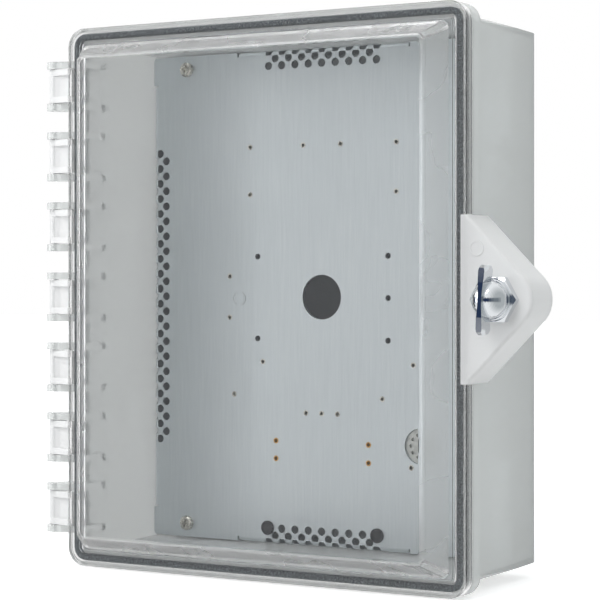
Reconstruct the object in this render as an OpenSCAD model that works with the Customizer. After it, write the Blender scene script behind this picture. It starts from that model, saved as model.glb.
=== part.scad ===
// Hinged polycarbonate wall enclosure with a clear raised door, a foam rim
// gasket, seven snap hinges, a quarter-turn thumb latch under a triangular hood
// and a vented metal panel that carries a heater mat, a thermostat and two lamps.
// X runs to the right, Z up, and the front faces -Y. The origin is the centre of
// the flat back face that lies against the wall.

/* [Enclosure] */
// Width over the rims
case_w = 254; // [230:1:300]
// Height over the rims
case_h = 305; // [290:1:360]
// Depth from the wall to the front of the door's rim
case_d = 102; // [90:1:140]
// Wall thickness of the moulded back box
wall_t = 3; // [2.5:0.1:4]
// Draft of each side wall from the rim to the back
draft = 1.9; // [1:0.1:2.4]
// How far the rims stand out beyond the side walls
rim_out = 5.6; // [4.6:0.1:6.5]
// Corner radius of the rims
rim_r = 10.5; // [10.2:0.1:14]
// Edge radius round the back face
back_r = 6.5; // [4:0.5:9]

/* [Door] */
// Thickness of the clear window and rim
door_t = 2.8; // [2.2:0.1:3.4]
// Depth of the door's outer lip
lip_d = 6.7; // [6:0.1:9]
// Thickness of the door's outer lip
lip_t = 2.4; // [1.8:0.1:2.8]
// Gap between the door's lip and the back box's rim
rim_gap = 0.3; // [0.2:0.1:0.6]
// Height of the raised window in front of the rim
window_rise = 15; // [10:0.5:20]
// Distance from the rim's edge to the foot of the raised window
window_inset = 10; // [9.8:0.1:14]
// How far the raised window's sides lean in
window_lean = 6.5; // [4:0.5:9]
// Radius of the raised window's front edge
window_edge = 3; // [1.5:0.1:4]
// Width that is cut off each leaning corner of the raised window
window_chamfer = 2.6; // [1.5:0.1:6]
// Depth of the back box's rim
flange_d = 9.5; // [8:0.5:13]
// Thickness of the back box's rim
flange_t = 2.2; // [1.8:0.1:2.8]

/* [Hinges] */
// Number of hinges up the left side
hinge_count = 7; // [3:1:7]
// Distance from one hinge to the next
hinge_pitch = 40.3; // [36:0.1:42]
// Distance of the hinge pins from the rim's edge
hinge_out = 13.9; // [12:0.1:18]
// Radius of a hinge pin
pin_r = 1.6; // [1.2:0.1:2]
// Running clearance round a pin
pin_clear = 0.06; // [0.04:0.01:0.1]
// Length of the door's knuckle
knuckle_l = 19.2; // [16:0.2:22]
// Radius of the door's knuckle
knuckle_r = 3.5; // [3:0.1:4.2]
// Thickness of a knuckle's side rib
rib_t = 3.6; // [2.4:0.1:4.4]
// Thickness of an ear on the back box
ear_t = 4; // [3:0.1:5]
// Radius of an ear's tip
ear_r = 5; // [4.4:0.1:6]
// Gap between a knuckle and an ear
ear_gap = 0.4; // [0.3:0.1:0.8]

/* [Latch hood] */
// Half height of the triangular hood where it meets the rim
hood_h = 43.5; // [40:0.5:50]
// Depth of the hood from its front face
hood_d = 24; // [22:0.5:30]
// Radius of the hood's tip
hood_tip_r = 16; // [13:0.5:18]
// Radius of the hood's front edge
hood_edge = 1.8; // [0.8:0.1:2.2]
// Wall thickness of the hood
hood_t = 2.6; // [2:0.1:3.2]
// Distance of the lock's axis from the rim's edge
lock_out = 16.7; // [15.5:0.1:18]

/* [Lock] */
// Hexagon size across flats of the lock's nut
nut_af = 22.4; // [21:0.1:25]
// Thickness of the nut
nut_t = 4.5; // [3:0.1:5.5]
// Radius of the lock's threaded barrel
barrel_r = 9.4; // [8:0.1:9.6]
// Radius of the lock's collar in front of the nut
collar_r = 10.5; // [9.6:0.1:10.8]
// Thickness of the collar
collar_t = 2; // [1.5:0.1:3]
// Radius of the thumb knob's dome
dome_r = 9.6; // [8.5:0.1:9.8]
// Height of the dome
dome_h = 9.6; // [7:0.1:10.5]
// Length of the thumb lever
lever_l = 35; // [30:0.5:38]
// Thickness of the lever at its ends
lever_t = 3.4; // [2.6:0.1:4]
// Thickness of the lever at its waist
lever_waist = 2; // [1.6:0.1:2.5]
// Depth of the lever from front to back
lever_d = 10.5; // [8:0.5:12]
// Lean of the lever from upright
lever_lean = 3; // [0:0.5:6]
// Radius of the spindle that joins knob and cam
spindle_r = 4; // [3.5:0.1:5]
// Length of the cam from the lock's axis
cam_l = 14.5; // [13.5:0.1:15]
// Width of the cam
cam_w = 10; // [8.5:0.5:11]
// Thickness of the cam
cam_t = 2; // [1.5:0.1:2.5]
// Width of the strike that the cam turns behind
strike_w = 18; // [14:1:24]
// How far the strike stands out from the rim
strike_out = 6; // [5:0.5:6.5]

/* [Panel] */
// Distance of the panel's front face from the wall
panel_y = 31; // [24:0.5:40]
// Thickness of the panel's sheet
sheet_t = 1.6; // [1:0.1:2]
// Depth of the panel's folded edges
fold_d = 24; // [14:0.5:24]
// Length of each panel corner along the sides that is left flat
corner_h = 17.5; // [12:0.5:30]
// Length of each panel corner along the top and bottom that is left flat
corner_w = 60; // [40:1:64]
// Outside radius of the folds
fold_r = 2.6; // [2.2:0.1:4]
// Clearance between the panel and the side walls
panel_gap = 0.9; // [0.6:0.1:2]
// Distance from one vent hole to the next in a row
vent_pitch = 8.9; // [7:0.1:10]
// Distance from one row of vent holes to the next
vent_row = 4.3; // [4:0.1:5]
// Radius of a vent hole
vent_r = 2.35; // [1.8:0.05:2.4]
// Number of vent holes in the outer row of each side
side_vents = 20; // [6:1:22]
// Number of vent holes in the outer row at top and bottom
end_vents = 9; // [5:1:11]
// Radius of the cable hole in the middle
cable_r = 12.7; // [8:0.1:16]
// Sideways distance of the panel's screws from the middle
screw_x = 92.3; // [70:0.1:100]
// Distance of the panel's screws from its top and bottom edges
screw_in = 8; // [7.5:0.1:12]
// Radius of a panel screw's head
screw_head_r = 4.3; // [3.5:0.1:5]
// Height of a panel screw's head
screw_head_t = 2.6; // [2:0.1:3]
// Radius of a panel screw's shank
screw_r = 1.9; // [1.5:0.1:2.2]
// Radius of a post that the panel is screwed to
post_r = 4.6; // [4.2:0.1:5.5]

/* [Fittings] */
// Sideways distance of the lamps from the middle
lamp_x = 36.1; // [30:0.1:42]
// Radius of a lamp holder's flange
holder_r = 4.1; // [3.9:0.1:5]
// Radius of a lamp
lamp_r = 2.5; // [1.5:0.1:2.6]
// Radius of the hole that the thermostat looks through
stat_hole_r = 9.9; // [9.4:0.1:12]
// Sideways place of the thermostat from the middle
stat_x = 63.4; // [60:0.1:66]
// Distance of the thermostat below the middle
stat_down = 82; // [78:0.1:84]
// Radius of the thermostat's cap
stat_r = 8.8; // [7:0.1:9]
// Sideways distance of the brass inserts from the middle
brass_x = 30.5; // [26:0.1:36]
// Distance of the pairs of brass inserts below the middle
brass_down = 87.6; // [84:0.1:92]
// Upright distance between the brass inserts of a pair
brass_pitch = 10.2; // [8:0.1:14]
// Distance of the terminal block above the panel's lower edge
terminal_up = 15.5; // [12:0.5:22]
// Height of the terminal block
terminal_h = 20; // [14:0.5:20]
// Depth of the terminal block
terminal_d = 13; // [8:0.5:16]
// Width of one way of the terminal block
way_w = 9; // [6:0.5:12]
// Number of ways of the terminal block
ways = 4; // [2:1:8]
// Width of the heater mat
mat_w = 120; // [90:1:140]
// Height of the heater mat
mat_h = 104; // [60:1:110]
// Thickness of the heater mat
mat_t = 2.4; // [1.5:0.1:5]
// Radius of a clinch nut's body behind the panel
clinch_r = 2.5; // [2.3:0.1:3]
// Radius of the thread in a clinch nut
clinch_bore_r = 1; // [0.8:0.1:1.3]
// Length of a clinch nut
clinch_l = 4; // [3:0.1:6]

/* [Wall mounting] */
// Sideways distance between the wall screws
wall_x = 190; // [150:1:190]
// Upright distance between the wall screws
wall_z = 220; // [180:1:230]
// Radius of a wall screw's hole
wall_hole_r = 2.6; // [2:0.1:3.5]

/* [Hidden] */
$fn = 64;

eps = 0.01;
arc_steps = 8;                                  // chords in a rounded back edge
front = case_d;                                 // front of the door's rim, measured from the wall
parting = front - lip_d - rim_gap;              // front of the back box's rim
wall_r = rim_r - rim_out;                       // corner radius outside the side walls
shell_w = case_w - 2*rim_out;
shell_h = case_h - 2*rim_out;
hinge_x = -case_w/2 - hinge_out;
ear_in = knuckle_l/2 + ear_gap;
pin_l = 2*(ear_in + ear_t);
ear_root = parting - flange_d - 10.5;           // where an ear leaves the side wall
hood_apex = case_w/2 + hood_h;
lock_x = case_w/2 + lock_out;
hood_clear = 0.5;                               // gap between the hood and the back box's rim
cam_front = parting - flange_d - 0.4;           // the cam's face that pulls on the strike
strike_t = 4;
knob_y = front + nut_t + collar_t;              // seat of the turning knob
lever_front = knob_y + dome_h + 2.4;
lock_back = cam_front - cam_t - 1.2;
panel_w = shell_w - 2*wall_t - 2*draft - 2*panel_gap + 0.8;
panel_h = shell_h - 2*wall_t - 2*draft - 2*panel_gap + 0.8;
panel_back = panel_y - sheet_t;
side_fold_l = panel_h - 2*corner_h;
end_fold_l = panel_w - 2*corner_w;
screw_z = panel_h/2 - screw_in;
lamp_z = panel_h/2 - 2*vent_row;
stat_z = -stat_down;
tooth = 1.4;                                    // length of the rib that locates the gasket
gasket_in = 3.2;                                // gasket's outer face from the rim's edge
gasket_w = 3.2;
press_gap = 0.02;                               // gap round a pressed-in pin
screw_gap = 0.1;

// Clinch nuts that take the fitted devices: sideways and upright places
clinch_places = [
    [-48.2, 86.5], [-12.3, 86.5], [12.3, 86.5], [48.2, 86.5],
    [-48.2, 59], [48.2, 59], [-62.2, 12], [-62.2, -12],
    [-39.4, -37.3], [59, -37.3], [-59.2, -56.6], [39.4, -56.6],
    [-10.4, -66], [0, -66], [10.4, -66], [57.6, -94]];
brass_places = [for (x = [-brass_x, brass_x], z = [-brass_pitch/2, brass_pitch/2])
    [x, z - brass_down]];
plain_places = [[-43, 23.2], [43, 23.2], [43, -0.3], [-43, -24], [43, -24]];
plain_r = 1.7;

// Extrudes an outline drawn as seen from the front between two distances from the wall
module from_wall(back, fore) {
    translate([0, -back, 0]) rotate([90, 0, 0]) linear_extrude(fore - back) children();
}

// A round bar that runs from one distance from the wall to another
module bar(x, z, r, back, fore) {
    translate([x, -back, z]) rotate([90, 0, 0]) cylinder(r = r, h = fore - back);
}

module rounded_rect(w, h, r) {
    square([w - 2*r, h], center = true);
    square([w, h - 2*r], center = true);
    for (x = [-1, 1], z = [-1, 1]) translate([x*(w/2 - r), z*(h/2 - r)]) circle(r);
}

// Sweeps a section round a rounded rectangle: its x is measured out from the
// corner's centre, and its y is the distance from the wall
module swept(w, h, r) {
    for (k = [0:3]) {
        across = k % 2 == 0 ? w : h;
        along = k % 2 == 0 ? h : w;
        rotate([0, -90*k, 0]) translate([across/2 - r, 0, 0]) {
            mirror([0, 1, 0]) linear_extrude(along - 2*r, center = true) children();
            translate([0, 0, along/2 - r]) rotate([90, 0, 0]) rotate_extrude(angle = 90) children();
        }
    }
}

// Outline of a side wall pair that closes in towards a face with rounded edges:
// points are [across, distance from the open end]
function closing_in(w, d, lean, r) = concat(
    [[-w/2, 0], [w/2, 0]],
    [for (i = [0:arc_steps]) let (a = 90*i/arc_steps)
        [w/2 - lean - r + r*cos(a), d - r + r*sin(a)]],
    [for (i = [0:arc_steps]) let (a = 90 + 90*i/arc_steps)
        [-w/2 + lean + r + r*cos(a), d - r + r*sin(a)]]);

// Solid block with leaning sides and a rounded far edge, open end on the XZ plane,
// growing towards +Y
module leaning_block(w, h, d, lean, r) {
    reach = max(w, h) + 20;
    intersection() {
        linear_extrude(reach, center = true) polygon(closing_in(w, d, lean, r));
        rotate([0, 90, 0]) linear_extrude(reach, center = true)
            polygon(closing_in(h, d, lean, r));
    }
}

// ---- Back box ----

module shell_block(inset, floor_t, open_extra) {
    w = shell_w - 2*inset;
    h = shell_h - 2*inset;
    intersection() {
        translate([0, -parting - open_extra, 0])
            leaning_block(w, h, parting + open_extra - floor_t, draft, back_r - inset);
        from_wall(floor_t, parting + open_extra)
            rounded_rect(w, h, max(wall_r - inset, 1));
    }
}

// Channel-shaped rim: its front is flat for the gasket and its skirt turns back
module flange_section() {
    inner = wall_r - wall_t + 1;
    polygon([[inner, parting], [rim_r, parting], [rim_r, parting - flange_d],
             [rim_r - flange_t, parting - flange_d], [rim_r - flange_t, parting - 3],
             [inner, parting - 3]]);
}

// Ear outline as seen from above: x sideways, y distance from the wall
module ear_outline() {
    wall_x = -shell_w/2 + 1;
    translate([hinge_x, parting]) circle(ear_r);
    polygon([[hinge_x, parting + ear_r], [hinge_x + 0.45*hinge_out, parting + 0.7*ear_r],
             [-case_w/2 - 1.2, parting], [wall_x, parting - 1],
             [wall_x, ear_root], [-case_w/2, ear_root],
             [hinge_x - 0.6*ear_r, parting - 0.8*ear_r]]);
}

module ears() {
    for (i = [1:hinge_count], side = [-1, 1])
        translate([0, 0, hinge_z(i) + side*(ear_in + ear_t/2)])
            mirror([0, 1, 0]) linear_extrude(ear_t, center = true) ear_outline();
}

function hinge_z(i) = (i - (hinge_count + 1)/2)*hinge_pitch;

module strike() {
    x = case_w/2 - flange_t;
    translate([x, -(cam_front + 0.4 + strike_t), -strike_w/2])
        cube([flange_t + strike_out, strike_t, strike_w]);
    for (z = [-strike_w/2, strike_w/2 - 2])
        translate([0, 0, z]) linear_extrude(2)
            polygon([[x, -parting], [case_w/2 + strike_out, -(cam_front + 0.4 + strike_t/2)],
                     [x, -(cam_front + 0.4)]]);
}

module back_box() {
    color("whitesmoke", 0.6) difference() {
        union() {
            difference() {
                shell_block(0, 0, 0);
                shell_block(wall_t, wall_t, 1);
            }
            swept(case_w, case_h, rim_r) flange_section();
            ears();
            strike();
            for (x = [-screw_x, screw_x], z = [-screw_z, screw_z])
                bar(x, z, post_r, wall_t - eps, panel_back);
            for (x = [-wall_x/2, wall_x/2], z = [-wall_z/2, wall_z/2])
                bar(x, z, 2.4*wall_hole_r, wall_t - eps, wall_t + 2);
        }
        for (x = [-wall_x/2, wall_x/2], z = [-wall_z/2, wall_z/2])
            bar(x, z, wall_hole_r, -1, wall_t + 3);
        for (x = [-screw_x, screw_x], z = [-screw_z, screw_z])
            bar(x, z, screw_r + screw_gap, wall_t + 4, panel_back + 1);
        for (i = [1:hinge_count])
            translate([hinge_x, -parting, hinge_z(i)])
                cylinder(r = pin_r + press_gap, h = pin_l + 2, center = true);
    }
}

module rim_gasket() {
    outer = rim_r - gasket_in;
    fore = front - door_t - 0.1;
    color("dimgray") swept(case_w, case_h, rim_r)
        polygon([[outer - gasket_w, parting], [outer, parting], [outer, fore - 0.6],
                 [outer - 0.6, fore], [outer - gasket_w + 0.6, fore],
                 [outer - gasket_w, fore - 0.6]]);
}

module hinge_pin(i) {
    color("white", 0.7) translate([hinge_x, -parting, hinge_z(i)])
        cylinder(r = pin_r, h = pin_l, center = true);
}

// ---- Door ----

// Rim of the door: rounded front edge, outer lip and the rib inside the gasket
module door_rim_section() {
    edge = 1.2;
    inner = rim_r - window_inset;
    rib_out = rim_r - gasket_in - gasket_w - 0.8;
    rib_in = rib_out - 1.6;
    back = front - door_t;
    polygon(concat(
        [[inner, back], [inner, front]],
        [for (i = [0:4]) let (a = 90 - 22.5*i)
            [rim_r - edge + edge*cos(a), front - edge + edge*sin(a)]],
        [[rim_r, front - lip_d], [rim_r - lip_t, front - lip_d], [rim_r - lip_t, back],
         [rib_out, back], [rib_out, back - tooth], [rib_in, back - tooth], [rib_in, back]]));
}

// Block that trims two opposite corners of the raised window
module corner_planes(diagonal, grow, d, r) {
    linear_extrude(2*diagonal, center = true)
        polygon(closing_in(diagonal + sqrt(2)*grow, d,
                           sqrt(2)*window_lean/window_rise*d, r));
}

// The raised window as a solid: grows forward from the rim and leans in, with a
// flat across each corner
module window_block(inset, extra_back, round_r) {
    w = case_w - 2*(window_inset + inset);
    h = case_h - 2*(window_inset + inset);
    d = window_rise - inset;
    diagonal = (w + h - 2*window_chamfer)/sqrt(2);
    slope = window_lean/window_rise;
    grow = 2*slope*extra_back;
    translate([0, -front + extra_back, 0]) mirror([0, 1, 0]) intersection() {
        leaning_block(w + grow, h + grow, d + extra_back, slope*(d + extra_back), round_r);
        rotate([0, 45, 0]) corner_planes(diagonal, grow, d + extra_back, round_r);
        rotate([0, -45, 0]) corner_planes(diagonal, grow, d + extra_back, round_r);
    }
}

// Section through the hood's front and side wall: x is measured out from the
// tip's centre, and y is the distance from the wall
module hood_section() {
    polygon(concat(
        [[0, front - door_t], [0, front]],
        [for (i = [0:4]) let (a = 90 - 22.5*i)
            [hood_tip_r - hood_edge + hood_edge*cos(a), front - hood_edge + hood_edge*sin(a)]],
        [[hood_tip_r, front - hood_d], [hood_tip_r - hood_t, front - hood_d],
         [hood_tip_r - hood_t, front - door_t]]));
}

// Triangular hood: two straight walls at 45 degrees joined by a round tip
module hood() {
    tip_x = hood_apex - hood_tip_r*sqrt(2);
    wall_l = 1.5*hood_h;
    difference() {
        union() {
            translate([tip_x, 0, 0]) rotate([0, 45, 0]) rotate([90, 0, 0])
                rotate_extrude(angle = 90) hood_section();
            for (side = [-1, 1])
                translate([tip_x, 0, 0]) rotate([0, side*45, 0])
                    translate([0, 0, -side*wall_l/2]) mirror([0, 1, 0])
                        linear_extrude(wall_l, center = true) hood_section();
            from_wall(front - door_t, front)
                polygon([[case_w/2 - lip_t, -hood_h + hood_tip_r*(sqrt(2) - 1)],
                         [case_w/2 - lip_t, hood_h - hood_tip_r*(sqrt(2) - 1)], [tip_x, 0]]);
        }
        translate([case_w/2 - lip_t - 2*hood_h, -front - 1, -case_h/2])
            cube([2*hood_h, hood_d + 2, case_h]);
        translate([0, -(front - lip_d), -case_h/2])
            cube([case_w/2 + hood_clear, hood_d, case_h]);
    }
}

// Side rib of a knuckle as seen from above
module knuckle_rib() {
    root = -case_w/2 + eps;
    translate([hinge_x, parting]) circle(knuckle_r);
    polygon([[root, front - 1.2], [hinge_x, parting + knuckle_r],
             [hinge_x, parting - knuckle_r], [-case_w/2 - 4, parting - 0.8],
             [root, front - lip_d]]);
}

// Thin web between the ribs, with the barrel round the pin
module knuckle_web() {
    translate([hinge_x, parting]) circle(knuckle_r);
    polygon([[-case_w/2 + eps, front - 3.6], [hinge_x, parting + knuckle_r - 0.4],
             [hinge_x, parting - 0.2], [-case_w/2 + eps, front - lip_d + 0.4]]);
}

module knuckle(i) {
    translate([0, 0, hinge_z(i)]) mirror([0, 1, 0]) {
        for (side = [-1, 1])
            translate([0, 0, side*(knuckle_l - rib_t)/2])
                linear_extrude(rib_t, center = true) knuckle_rib();
        linear_extrude(knuckle_l - 2*rib_t + eps, center = true) knuckle_web();
    }
}

// Shallow round witness mark that a moulding gate leaves
module gate_mark(x, z, r, y) {
    difference() {
        bar(x, z, r, y - 0.5, y + 0.4);
        bar(x, z, r - 0.8, y + 0.15, y + 1);
    }
}

module door() {
    color("white", 0.35) difference() {
        union() {
            swept(case_w, case_h, rim_r) door_rim_section();
            difference() {
                union() {
                    window_block(0, 0, window_edge);
                    from_wall(front - door_t, front)
                        rounded_rect(case_w - 2*window_inset + 1, case_h - 2*window_inset + 1, 1);
                }
                window_block(door_t, door_t + 1, window_edge/3);
            }
            hood();
            for (i = [1:hinge_count]) knuckle(i);
            gate_mark(0, 0, 3.8, front + window_rise);
            gate_mark(case_w/2 + 6, 26, 4, front);
        }
        bar(lock_x, 0, barrel_r + screw_gap, front - door_t - 1, front + 1);
        for (i = [1:hinge_count])
            translate([hinge_x, -parting, hinge_z(i)])
                cylinder(r = pin_r + pin_clear, h = knuckle_l + 2, center = true);
    }
}

// ---- Vented panel ----

// One row of round holes centred on the panel
module hole_row(count, r) {
    for (i = [0:count - 1]) translate([(i - (count - 1)/2)*vent_pitch, 0]) circle(r);
}

module end_holes(middle_count, inner_count) {
    translate([0, panel_h/2 - vent_row]) hole_row(middle_count, vent_r);
    translate([0, panel_h/2 - 2*vent_row]) hole_row(inner_count, vent_r);
}

// What is left flat of the sheet's corners, with a slot of relief beside each fold
module flat_corners() {
    relief = 1;
    difference() {
        rounded_rect(panel_w, panel_h, 2);
        square([panel_w + 2, side_fold_l + 2*relief], center = true);
        square([end_fold_l + 2*relief, panel_h + 2], center = true);
    }
}

module panel_outline() {
    difference() {
        union() {
            square([panel_w - 2*fold_r, panel_h - 2*fold_r], center = true);
            flat_corners();
        }
        end_holes(end_vents - 1, end_vents);
        rotate(180) end_holes(end_vents - 1, end_vents - 2);
        for (side = [-1, 1]) {
            translate([side*(panel_w/2 - vent_row), 0]) rotate(90)
                hole_row(side_vents, vent_r);
            translate([side*(panel_w/2 - 2*vent_row), 0]) rotate(90)
                hole_row(side_vents - 1, vent_r);
            translate([side*lamp_x, -lamp_z]) circle(holder_r - 0.5);
        }
        circle(cable_r);
        translate([stat_x, stat_z]) circle(stat_hole_r);
        for (p = concat(clinch_places, brass_places)) translate(p) circle(clinch_bore_r + 0.6);
        for (p = plain_places) translate(p) circle(plain_r);
        for (x = [-screw_x, screw_x], z = [-screw_z, screw_z])
            translate([x, z]) circle(screw_r + 0.3);
    }
}

// Folded edge: x out from the sheet's edge, y distance from the wall
module fold_section() {
    translate([0, panel_y - fold_r]) intersection() {
        difference() {
            circle(fold_r);
            circle(fold_r - sheet_t);
        }
        square(fold_r);
    }
    translate([fold_r - sheet_t, panel_y - fold_d])
        square([sheet_t, fold_d - fold_r]);
}

// A folded edge with the outer row of vent holes punched across the fold
module fold(length, reach, holes) {
    middle = fold_r*(1 - 1/sqrt(2));
    difference() {
        translate([reach - fold_r, 0, 0]) mirror([0, 1, 0])
            linear_extrude(length, center = true) fold_section();
        for (i = [0:holes - 1])
            translate([reach - middle, -(panel_y - middle), (i - (holes - 1)/2)*vent_pitch])
                rotate([0, 90, -45]) cylinder(r = vent_r, h = 2.4*fold_r, center = true);
    }
}

module back_panel() {
    color("silver") union() {
        from_wall(panel_back, panel_y) panel_outline();
        for (turn = [0, 180]) {
            rotate([0, turn, 0]) fold(side_fold_l, panel_w/2, side_vents - 1);
            rotate([0, turn - 90, 0]) fold(end_fold_l, panel_h/2, end_vents);
        }
    }
}

module panel_screws() {
    cross_w = 1;
    cross_l = 4.6;
    color("silver") for (x = [-screw_x, screw_x], z = [-screw_z, screw_z])
        difference() {
            union() {
                bar(x, z, screw_r, wall_t + 6, panel_y);
                translate([x, -panel_y, z]) rotate([90, 0, 0]) rotate_extrude()
                    polygon(concat([[0, 0], [screw_head_r, 0]],
                        [for (i = [0:6]) let (a = 90*i/6)
                            [screw_head_r - 1.4 + 1.4*cos(a),
                             screw_head_t - 1.6 + 1.6*sin(a)]],
                        [[0, screw_head_t]]));
            }
            for (turn = [0, 90])
                translate([x, -panel_y - screw_head_t, z]) rotate([0, turn + 20, 0])
                    cube([cross_l, 2.6, cross_w], center = true);
        }
}

// A clinch nut: thin ring in the sheet's hole, wider round body behind the sheet
module clinch(p) {
    difference() {
        union() {
            bar(p[0], p[1], clinch_bore_r + 0.58, panel_back - 0.5, panel_y + 0.15);
            bar(p[0], p[1], clinch_r, panel_back - clinch_l, panel_back);
        }
        bar(p[0], p[1], clinch_bore_r, panel_back - clinch_l - 1, panel_y + 1);
    }
}

module clinch_nuts() {
    color("silver") for (p = clinch_places) clinch(p);
}

module brass_inserts() {
    color("goldenrod") for (p = brass_places) clinch(p);
}

// ---- Fittings on the panel ----

module heater_mat() {
    margin = 1.5;
    color("#202322") difference() {
        from_wall(panel_back - mat_t, panel_back) rounded_rect(mat_w, mat_h, 5);
        for (p = concat(clinch_places, brass_places))
            bar(p[0], p[1], clinch_r + margin, panel_back - mat_t - 1, panel_back + 1);
    }
}

module thermostat() {
    dimples = 10;
    color("gray") difference() {
        union() {
            bar(stat_x, stat_z, stat_r, panel_back - 9, panel_y - 0.8);
            bar(stat_x, stat_z, stat_hole_r + 0.7, panel_back - 1.2, panel_back);
        }
        for (i = [0:dimples - 1])
                bar(stat_x + 0.72*stat_r*cos(360*i/dimples),
                    stat_z + 0.72*stat_r*sin(360*i/dimples), 1, panel_y - 2.4, panel_y);
    }
}

module terminal_block() {
    z = -panel_h/2 + terminal_up + terminal_h/2;
    face = panel_back - terminal_d;
    color("#2b2b2b") difference() {
        translate([-ways*way_w/2, -panel_back, z - terminal_h/2])
            cube([ways*way_w, terminal_d, terminal_h]);
        for (i = [0:ways - 1], side = [-1, 1])
            bar((i - (ways - 1)/2)*way_w, z + side*terminal_h/4, way_w/4, face - 1, face + 5);
    }
}

module lamp_holder(side) {
    color("#1c1e20") difference() {
        union() {
            translate([side*lamp_x, -panel_y, -lamp_z]) rotate([90, 0, 0]) rotate_extrude()
                polygon([[0, 0], [holder_r, 0], [holder_r, 0.9], [holder_r - 0.9, 1.9], [0, 1.9]]);
            bar(side*lamp_x, -lamp_z, holder_r - 0.6, panel_back - 6, panel_y + eps);
        }
        bar(side*lamp_x, -lamp_z, lamp_r + 0.1, panel_back - 7, panel_y + 3);
    }
}

module left_lamp_holder() { lamp_holder(-1); }
module right_lamp_holder() { lamp_holder(1); }

module lamp(side) {
    color("gainsboro") translate([side*lamp_x, 0, -lamp_z]) {
        bar(0, 0, lamp_r, panel_back - 5, panel_y + 0.4);
        translate([0, -panel_y - 0.4, 0]) rotate([90, 0, 0]) rotate_extrude()
            polygon(concat([[0, -0.1], [lamp_r, -0.1]],
                [for (i = [0:6]) let (a = 90*i/6) [lamp_r*cos(a), 1.8*sin(a)]]));
    }
}

module left_lamp() { lamp(-1); }
module right_lamp() { lamp(1); }

// ---- Lock ----

module lock_barrel() {
    color("silver") difference() {
        union() {
            bar(lock_x, 0, barrel_r, front - 9, front + nut_t + eps);
            translate([lock_x, -(front + nut_t), 0]) rotate([90, 0, 0]) rotate_extrude()
                polygon([[0, 0], [collar_r, 0], [collar_r, collar_t - 0.5],
                         [collar_r - 0.5, collar_t], [0, collar_t]]);
        }
        bar(lock_x, 0, spindle_r + 0.06, front - 10, knob_y + 1);
    }
}

module lock_nut() {
    corner_r = nut_af/sqrt(3);
    color("silver") difference() {
        translate([lock_x, -front, 0]) rotate([90, 0, 0]) intersection() {
            cylinder(r = corner_r, h = nut_t, $fn = 6);
            rotate_extrude() polygon([[0, 0], [corner_r + 0.1, 0], [corner_r + 0.1, nut_t - 1],
                                      [nut_af/2 - 0.2, nut_t], [0, nut_t]]);
        }
        bar(lock_x, 0, barrel_r + 0.05, front - 1, front + nut_t + 1);
    }
}

// Bow-tie outline of the lever seen from the front, standing upright
module lever_outline() {
    half = lever_l/2;
    end_t = lever_t/2;
    waist = lever_waist/2;
    steps = 12;
    side = [for (i = [0:steps]) let (z = -half + lever_l*i/steps)
        [waist + (end_t - waist)*pow(sin(90*min(abs(z)/(0.8*half), 1)), 2)
         - (abs(z) > 0.99*half ? 0.7 : 0), z]];
    polygon(concat(side, [for (i = [steps:-1:0]) [-side[i][0], side[i][1]]]));
}

// Lever outline from the side: its back follows the dome and its ends turn in
module lever_side() {
    half = lever_l/2;
    back = lever_front - lever_d;
    polygon([[half - 1.5, lever_front - 0.8], [half, lever_front - 2.5], [half - 0.4, back + 1],
             [half - 2.4, back], [0.55*half, back + 1.2], [0.4*half, back - 0.4],
             [-0.4*half, back - 0.4], [-0.55*half, back + 1.2], [-half + 2.4, back],
             [-half + 0.4, back + 1], [-half, lever_front - 2.5],
             [-half + 1.5, lever_front - 0.8], [-0.5*half, lever_front - 0.2],
             [0, lever_front], [0.5*half, lever_front - 0.2]]);
}

module thumb_lever() {
    steps = 12;
    color("silver") translate([lock_x, 0, 0]) union() {
        translate([0, -knob_y - 0.05, 0]) rotate([90, 0, 0]) rotate_extrude()
            polygon(concat([[0, 0]], [for (i = [0:steps]) let (a = 90*i/steps)
                [dome_r*cos(a), dome_h*sin(a)]]));
        rotate([0, lever_lean, 0]) intersection() {
            from_wall(knob_y, lever_front + 1) lever_outline();
            rotate([0, -90, 0]) linear_extrude(2*lever_t, center = true)
                mirror([0, 1, 0]) lever_side();
        }
    }
}

module lock_spindle() {
    square_w = 5;
    color("silver") difference() {
        union() {
            bar(lock_x, 0, spindle_r, cam_front + 0.1, knob_y + 0.06);
            translate([lock_x - square_w/2, -(cam_front + 0.2), -square_w/2])
                cube([square_w, cam_t + 0.1, square_w]);
        }
        bar(lock_x, 0, 1.7, cam_front - cam_t - 1, cam_front + 8);
    }
}

module lock_cam() {
    hole = 5.06;
    tip = cam_l - cam_w/2;
    color("silver") from_wall(cam_front - cam_t, cam_front) difference() {
        union() {
            translate([lock_x, 0]) circle(cam_w/2 + 1);
            translate([lock_x - cam_w/2, -tip]) square([cam_w, tip]);
            translate([lock_x, -tip]) circle(cam_w/2);
        }
        translate([lock_x, 0]) square(hole, center = true);
    }
}

module cam_washer() {
    color("silver") difference() {
        bar(lock_x, 0, 4.6, cam_front - cam_t - 1, cam_front - cam_t);
        bar(lock_x, 0, 1.75, cam_front - cam_t - 2, cam_front - cam_t + 1);
    }
}

module cam_screw() {
    head = cam_front - cam_t - 1;
    color("silver") {
        translate([lock_x, -head, 0]) rotate([-90, 0, 0])
            cylinder(r = 3.6, h = 2.6, $fn = 6);
        bar(lock_x, 0, 1.65, head - eps, cam_front + 7);
    }
}

back_box();
rim_gasket();
door();
back_panel();
panel_screws();
clinch_nuts();
brass_inserts();
heater_mat();
thermostat();
terminal_block();
left_lamp_holder();
right_lamp_holder();
left_lamp();
right_lamp();
lock_barrel();
lock_nut();
thumb_lever();
lock_spindle();
lock_cam();
cam_washer();
cam_screw();
for (i = [1:hinge_count])
    hinge_pin(i);
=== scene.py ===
"""Looks of a hinged polycarbonate wall enclosure: every solid comes from the frame, and this file
gives each one its finish, then adds the studio round it."""

import math

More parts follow.
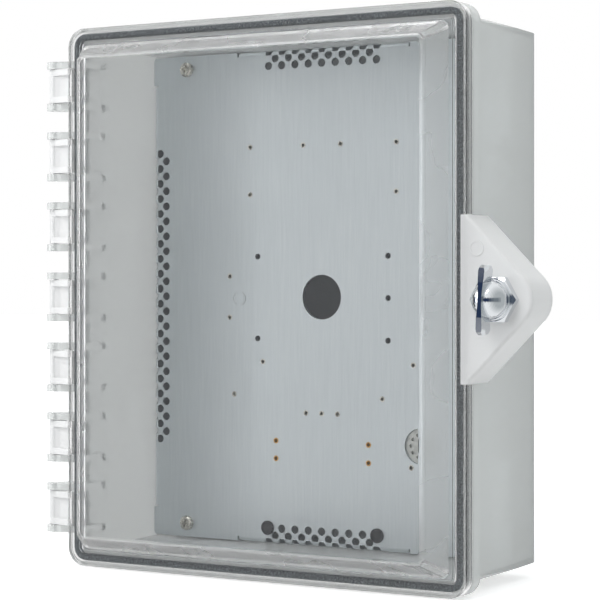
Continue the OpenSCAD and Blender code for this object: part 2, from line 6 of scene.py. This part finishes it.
import bpy
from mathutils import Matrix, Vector


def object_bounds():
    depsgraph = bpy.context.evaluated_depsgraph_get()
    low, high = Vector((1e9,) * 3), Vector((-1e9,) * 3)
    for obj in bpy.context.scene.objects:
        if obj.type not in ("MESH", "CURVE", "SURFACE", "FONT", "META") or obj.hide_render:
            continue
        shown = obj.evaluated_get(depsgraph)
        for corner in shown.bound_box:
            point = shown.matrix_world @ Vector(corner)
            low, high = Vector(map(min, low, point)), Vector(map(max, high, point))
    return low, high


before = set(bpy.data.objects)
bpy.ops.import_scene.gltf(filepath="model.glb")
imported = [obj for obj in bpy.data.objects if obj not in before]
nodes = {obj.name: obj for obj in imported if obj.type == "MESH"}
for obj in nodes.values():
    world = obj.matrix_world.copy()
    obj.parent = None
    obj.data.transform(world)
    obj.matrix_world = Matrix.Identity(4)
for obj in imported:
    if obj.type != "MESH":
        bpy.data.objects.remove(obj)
cad_low, cad_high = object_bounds()
scene = bpy.context.scene


def mm(v):
    """Millimetres as the metres that Blender takes."""
    return v / 1000


def srgb(code):
    """A colour written as an sRGB hex value, as the linear values that Blender takes."""
    out = []
    for i in (0, 2, 4):
        c = int(code[i:i + 2], 16) / 255
        out.append(c / 12.92 if c <= 0.04045 else ((c + 0.055) / 1.055) ** 2.4)
    return (*out, 1.0)


# ---- Materials ----

def add(tree, kind, inputs=None, **settings):
    """Adds a node, sets its properties, and sets or links its inputs."""
    node = tree.nodes.new(kind)
    for name, value in settings.items():
        setattr(node, name, value)
    for key, value in (inputs or {}).items():
        socket = node.inputs[key]
        if isinstance(value, bpy.types.NodeSocket):
            tree.links.new(value, socket)
        else:
            socket.default_value = value
    return node


def start(name):
    """A new material with a Principled surface, and its object-space coordinates in metres."""
    material = bpy.data.materials.new(name)
    material.use_nodes = True
    tree = material.node_tree
    tree.nodes.clear()
    shader = add(tree, "ShaderNodeBsdfPrincipled")
    add(tree, "ShaderNodeOutputMaterial", {"Surface": shader.outputs[0]})
    place = add(tree, "ShaderNodeTexCoord").outputs["Object"]
    return material, tree, shader, place


def set_all(shader, **values):
    """Sets shader inputs that are the same all over, by name with _ for a space."""
    for name, value in values.items():
        shader.inputs[name.replace("_", " ")].default_value = value


def noise_in(tree, place, size_mm, detail=2.0, stretch=(1, 1, 1), rough=0.5):
    """Noise whose grains are about size_mm across, stretched along an axis where asked."""
    scaled = add(tree, "ShaderNodeMapping", {"Vector": place, "Scale": [1 / s for s in stretch]})
    return add(tree, "ShaderNodeTexNoise",
               {"Vector": scaled.outputs[0], "Scale": 1000 / size_mm, "Detail": detail,
                "Roughness": rough}).outputs["Fac"]


def ranged(tree, value, low, high, out_low, out_high):
    """Maps low..high to out_low..out_high and holds it at the ends."""
    return add(tree, "ShaderNodeMapRange",
               {"Value": value, "From Min": low, "From Max": high,
                "To Min": out_low, "To Max": out_high}).outputs["Result"]


def ramp(tree, value, stops):
    """A run of colours, given as pairs of place and hex value."""
    node = add(tree, "ShaderNodeValToRGB", {"Fac": value})
    band = node.color_ramp
    band.elements[0].position, band.elements[0].color = stops[0][0], srgb(stops[0][1])
    band.elements[1].position, band.elements[1].color = stops[-1][0], srgb(stops[-1][1])
    for at, code in stops[1:-1]:
        band.elements.new(at).color = srgb(code)
    return node.outputs["Color"]


def bumped(tree, shader, height, depth_mm, strength):
    """Gives the shader a relief that is depth_mm deep."""
    bump = add(tree, "ShaderNodeBump",
               {"Height": height, "Distance": mm(depth_mm), "Strength": strength})
    tree.links.new(bump.outputs[0], shader.inputs["Normal"])


def between(tree, value, low, high):
    """1 well inside low..high and 0 outside it, with a soft edge of half a millimetre."""
    soft = mm(0.5)
    rising = ranged(tree, value, low - soft, low, 0, 1)
    falling = ranged(tree, value, high, high + soft, 1, 0)
    return add(tree, "ShaderNodeMath", {0: rising, 1: falling}, operation="MULTIPLY").outputs[0]


def polished_polycarbonate():
    """Clear polycarbonate from a polished mould: the flat window, as clear as glass, with a
    few faint waves from the moulding."""
    material, tree, shader, place = start("polished_polycarbonate")
    set_all(shader, Base_Color=srgb("FFFFFF"), Transmission_Weight=1.0, IOR=1.585, Roughness=0.0)
    bumped(tree, shader, noise_in(tree, place, 70, 0), 0.015, 0.2)
    return material


def moulded_polycarbonate():
    """Polycarbonate from one mould with two finishes: the rim is clear with soft edges, and
    the latch's hood and the hinge row are finely eroded, so they look milky and pale."""
    material, tree, shader, place = start("moulded_polycarbonate")
    axes = add(tree, "ShaderNodeSeparateXYZ", {"Vector": place}).outputs
    hood = add(tree, "ShaderNodeMath",
               {0: between(tree, axes["X"], mm(124), mm(200)),
                1: between(tree, axes["Z"], mm(-43), mm(43))}, operation="MULTIPLY").outputs[0]
    hinge = between(tree, axes["X"], mm(-200), mm(-128))
    milky = add(tree, "ShaderNodeMath", {0: hood, 1: hinge}, operation="MAXIMUM").outputs[0]
    set_all(shader, Base_Color=srgb("FFFFFF"), IOR=1.585)
    tree.links.new(ranged(tree, milky, 0, 1, 1.0, 0.42), shader.inputs["Transmission Weight"])
    tree.links.new(ranged(tree, milky, 0, 1, 0.04, 0.30), shader.inputs["Roughness"])
    return material


def sloped_polycarbonate():
    """Polycarbonate left satin by the mould on the leaning sides of the window, so that what
    is behind it melts into one grey."""
    material, tree, shader, place = start("sloped_polycarbonate")
    set_all(shader, Base_Color=srgb("FFFFFF"), Transmission_Weight=0.9, IOR=1.585)
    cloud = noise_in(tree, place, 40)
    tree.links.new(ranged(tree, cloud, 0.3, 0.7, 0.24, 0.30), shader.inputs["Roughness"])
    return material


def hazy_polycarbonate():
    """Polycarbonate with an eroded mould finish: the back box, milky at its sides, where it
    blurs what is behind it and mirrors what grazes it. At its back wall it passes less light and
    its colour is a painted grey shade, so that the vents look grey."""
    material, tree, shader, place = start("hazy_polycarbonate")
    depth = add(tree, "ShaderNodeSeparateXYZ", {"Vector": place}).outputs["Y"]
    back_wall_painted_shade_mask = ranged(tree, depth, mm(-8), mm(-4), 0, 1)
    # Painted shade: the back wall is coloured grey for the shade it lies in, though it is the same
    # white plastic as the sides.
    colour = add(tree, "ShaderNodeMix", {"Factor": back_wall_painted_shade_mask, "A": srgb("F7F9F8"),
                                         "B": srgb("A9B0B0")}, data_type="RGBA")
    tree.links.new(colour.outputs["Result"], shader.inputs["Base Color"])
    tree.links.new(ranged(tree, back_wall_painted_shade_mask, 0, 1, 0.55, 0.2), shader.inputs["Transmission Weight"])
    cloud = noise_in(tree, place, 35, 3)
    tree.links.new(ranged(tree, cloud, 0.3, 0.7, 0.20, 0.26), shader.inputs["Roughness"])
    set_all(shader, IOR=1.585)
    return material


def cellular_rubber():
    """Closed-cell foam rubber: charcoal, with cells of about half a millimetre that show as
    pale and dark specks."""
    material, tree, shader, place = start("cellular_rubber")
    cells = noise_in(tree, place, 1.1, 3, rough=0.7)
    colour = ramp(tree, cells, [(0.30, "333A3C"), (0.50, "596063"), (0.70, "8F9698")])
    tree.links.new(colour, shader.inputs["Base Color"])
    set_all(shader, Roughness=0.9)
    bumped(tree, shader, cells, 0.25, 0.8)
    return material


def rolled_aluminium():
    """Rolled aluminium sheet: a bright metal with fine upright rolling lines and a soft,
    cloudy gloss."""
    material, tree, shader, place = start("rolled_aluminium")
    lines = noise_in(tree, place, 0.3, 2, stretch=(1, 1, 80))
    cloud = noise_in(tree, place, 70, 2)
    mixed = add(tree, "ShaderNodeMath", {0: lines, 1: ranged(tree, cloud, 0.3, 0.7, -0.08, 0.08)},
                operation="ADD").outputs[0]
    colour = ramp(tree, mixed, [(0.25, "C2C9CC"), (0.5, "C8CFD2"), (0.75, "CFD5D7")])
    tree.links.new(colour, shader.inputs["Base Color"])
    set_all(shader, Metallic=1.0)
    tree.links.new(ranged(tree, lines, 0.25, 0.75, 0.42, 0.48), shader.inputs["Roughness"])
    return material


def nickel_plating():
    """Nickel-plated steel of the screws, clinch nuts and cam: warm grey with a soft polish."""
    material, tree, shader, place = start("nickel_plating")
    wear = noise_in(tree, place, 2.5, 3)
    tree.links.new(ramp(tree, wear, [(0.3, "A8A69D"), (0.7, "D2D0C8")]), shader.inputs["Base Color"])
    set_all(shader, Metallic=1.0)
    tree.links.new(ranged(tree, wear, 0.3, 0.7, 0.20, 0.34), shader.inputs["Roughness"])
    return material


def turned_brass():
    """Turned brass of the threaded inserts: yellow, with faint turning marks."""
    material, tree, shader, place = start("turned_brass")
    wear = noise_in(tree, place, 1.2, 3)
    tree.links.new(ramp(tree, wear, [(0.3, "A87322"), (0.7, "D9A548")]), shader.inputs["Base Color"])
    set_all(shader, Metallic=1.0, Roughness=0.3)
    return material


def chrome_plating():
    """Bright chrome on a die-cast lock: mirror-like, with slight flow waves from casting."""
    material, tree, shader, place = start("chrome_plating")
    set_all(shader, Base_Color=srgb("E4E6E9"), Metallic=1.0)
    soft = noise_in(tree, place, 5, 2)
    tree.links.new(ranged(tree, soft, 0.3, 0.7, 0.04, 0.10), shader.inputs["Roughness"])
    bumped(tree, shader, soft, 0.02, 0.3)
    return material


def silicone_rubber():
    """Black silicone rubber of the heater mat, with the print of the cloth inside it."""
    material, tree, shader, place = start("silicone_rubber")
    weave = noise_in(tree, place, 1.4, 1)
    tree.links.new(ramp(tree, weave, [(0.35, "15191A"), (0.7, "2B3133")]), shader.inputs["Base Color"])
    set_all(shader, Roughness=0.75)
    bumped(tree, shader, weave, 0.15, 0.6)
    return material


def black_nylon():
    """Glossy black nylon of the lamp holders and the terminal block."""
    material, tree, shader, place = start("black_nylon")
    dust = noise_in(tree, place, 1.5, 3)
    tree.links.new(ramp(tree, dust, [(0.4, "121517"), (0.75, "23282B")]), shader.inputs["Base Color"])
    set_all(shader, IOR=1.53)
    tree.links.new(ranged(tree, dust, 0.3, 0.7, 0.16, 0.28), shader.inputs["Roughness"])
    return material


def smoked_epoxy():
    """Smoke-tinted epoxy lens of a 5 mm lamp, dark and glossy while it isn't lit."""
    material, tree, shader, place = start("smoked_epoxy")
    set_all(shader, Base_Color=srgb("2A2E30"), Transmission_Weight=0.3, IOR=1.53)
    cloud = noise_in(tree, place, 2)
    tree.links.new(ranged(tree, cloud, 0.3, 0.7, 0.05, 0.10), shader.inputs["Roughness"])
    return material


def passivated_steel():
    """Passivated steel cap of the thermostat: dull grey with a yellow cast."""
    material, tree, shader, place = start("passivated_steel")
    wear = noise_in(tree, place, 3, 3)
    tree.links.new(ramp(tree, wear, [(0.3, "9C9F9C"), (0.7, "BFC1BD")]), shader.inputs["Base Color"])
    set_all(shader, Metallic=1.0, Roughness=0.38)
    return material


# ---- Finishes on the solids ----

def dress(names, materials, choose=None):
    """Gives the named solids their materials; choose(centre, normal) picks one for each face."""
    for name in names:
        mesh = nodes[name].data
        mesh.materials.clear()
        for material in materials:
            mesh.materials.append(material)
        for polygon in mesh.polygons:
            polygon.material_index = choose(polygon.center, polygon.normal) if choose else 0


RIM_HALF_W = mm(127)
RIM_HALF_H = mm(152.5)
RIM_WIDTH = mm(9.5)
WINDOW_START = mm(-103)
WINDOW_BACK = mm(-99)


def door_finish(centre, normal):
    """0 window, 1 rims, knuckles and hood, 2 leaning sides."""
    if centre.x > RIM_HALF_W:
        return 1
    inside = (abs(centre.x) < RIM_HALF_W - RIM_WIDTH
              and abs(centre.z) < RIM_HALF_H - RIM_WIDTH)
    if inside and centre.y < WINDOW_START:
        return 0 if abs(normal.y) > 0.97 else 2
    if inside and centre.y < WINDOW_BACK and abs(normal.y) < 0.9:
        return 2
    return 1


window, rims = polished_polycarbonate(), moulded_polycarbonate()
nickel, chrome, nylon = nickel_plating(), chrome_plating(), black_nylon()

dress(["door"], [window, rims, sloped_polycarbonate()], door_finish)
dress([n for n in nodes if n.startswith("hinge_pin_")], [rims])
dress(["back_box"], [hazy_polycarbonate()])
dress(["rim_gasket"], [cellular_rubber()])
dress(["back_panel"], [rolled_aluminium()])
dress(["panel_screws", "clinch_nuts", "lock_cam", "cam_washer", "cam_screw"], [nickel])
dress(["brass_inserts"], [turned_brass()])
dress(["heater_mat"], [silicone_rubber()])
dress(["thermostat"], [passivated_steel()])
dress(["terminal_block", "left_lamp_holder", "right_lamp_holder"], [nylon])
dress(["left_lamp", "right_lamp"], [smoked_epoxy()])
dress(["lock_barrel", "lock_nut", "thumb_lever", "lock_spindle"], [chrome])

# ---- Studio ----

def looked_at(tree, path):
    """1 for rays from the eye, also when they come through clear plastic, and 0 for the rest."""
    return add(tree, "ShaderNodeMath", {0: path["Is Camera Ray"], 1: path["Is Transmission Ray"]},
               operation="MAXIMUM").outputs[0]


def plain_floor():
    """A wide pale floor just under the object. It is white to the eye and keeps the shadow, and
    mirrors look past it, so they show no edge where it ends."""
    mesh = bpy.data.meshes.new("floor")
    reach, level = 6.0, cad_low.z - mm(0.4)
    mesh.from_pydata([(-reach, -reach, level), (reach, -reach, level),
                      (reach, reach, level), (-reach, reach, level)], [], [(0, 1, 2, 3)])
    floor = bpy.data.objects.new("floor", mesh)
    scene.collection.objects.link(floor)
    material, tree, shader, _ = start("white_floor")
    set_all(shader, Base_Color=srgb("E6E6E6"), Roughness=0.95, Specular_IOR_Level=0.0,
            Emission_Color=srgb("FFFFFF"))
    path = add(tree, "ShaderNodeLightPath").outputs
    seen = looked_at(tree, path)
    tree.links.new(ranged(tree, seen, 0, 1, 0, 0.55), shader.inputs["Emission Strength"])
    tree.links.new(ranged(tree, path["Is Glossy Ray"], 0, 1, 1, 0), shader.inputs["Alpha"])
    mesh.materials.append(material)


def studio_world():
    """Even light from all round. The eye sees plain white, and so does what looks through the
    clear plastic. Metal and plastic mirror the white backdrop, pale flats above and below, a grey
    flat on the right, and the dark room in a narrow band at the camera's height."""
    world = bpy.data.worlds.new("studio")
    world.use_nodes = True
    tree = world.node_tree
    tree.nodes.clear()
    way = add(tree, "ShaderNodeTexCoord").outputs["Generated"]
    axes = add(tree, "ShaderNodeSeparateXYZ", {"Vector": way}).outputs
    height = add(tree, "ShaderNodeMath", {0: axes["Z"]}, operation="ABSOLUTE").outputs[0]
    low = ranged(tree, height, 0.14, 0.26, 1, 0)
    ahead = ranged(tree, axes["Y"], -0.15, 0.1, 1, 0)
    dark = add(tree, "ShaderNodeMath", {0: low, 1: ahead}, operation="MULTIPLY").outputs[0]
    room = add(tree, "ShaderNodeMix", {"Factor": dark, "A": srgb("FAFCFC"), "B": srgb("2C3A55")},
               data_type="RGBA").outputs["Result"]
    right = ranged(tree, axes["X"], 0.2, 0.8, 0, 0.7)
    room = add(tree, "ShaderNodeMix", {"Factor": right, "A": room, "B": srgb("8E9698")},
               data_type="RGBA").outputs["Result"]
    path = add(tree, "ShaderNodeLightPath").outputs
    seen = looked_at(tree, path)
    white = add(tree, "ShaderNodeMix", {"Factor": seen, "A": room, "B": srgb("FFFFFF")},
                data_type="RGBA").outputs["Result"]
    ground = add(tree, "ShaderNodeBackground", {"Color": white, "Strength": 1.0})
    add(tree, "ShaderNodeOutputWorld", {"Surface": ground.outputs[0]})
    scene.world = world


def softbox(name, place, target, size, watts):
    """A white rectangular lamp aimed at a point; lengths are in metres."""
    light = bpy.data.lights.new(name, "AREA")
    light.shape, light.size, light.size_y = "RECTANGLE", size[0], size[1]
    light.energy = watts
    lamp = bpy.data.objects.new(name, light)
    lamp.location = place
    lamp.rotation_euler = (Vector(target) - Vector(place)).to_track_quat("-Z", "Y").to_euler()
    scene.collection.objects.link(lamp)


def photographer():
    """A level camera to the right of the front, with a long lens and the frame
    lowered a little."""
    lens = bpy.data.cameras.new("camera")
    lens.sensor_width, lens.lens, lens.shift_y = 36.0, 125.07, -0.0377
    lens.clip_start, lens.clip_end = 0.05, 50
    camera = bpy.data.objects.new("camera", lens)
    camera.location = (mm(606.8), mm(-1045.9), mm(11.2))
    camera.rotation_euler = (math.radians(90), 0, math.radians(31.5))
    scene.collection.objects.link(camera)
    scene.camera = camera


plain_floor()
studio_world()
softbox("key_above", (-0.3, -1.1, 1.5), (0, -0.1, 0), (1.2, 0.8), 16)
softbox("fill_left", (-1.5, -0.9, 0.3), (0, -0.1, 0), (0.8, 1.4), 8)
photographer()
scene.view_settings.view_transform = "Standard"
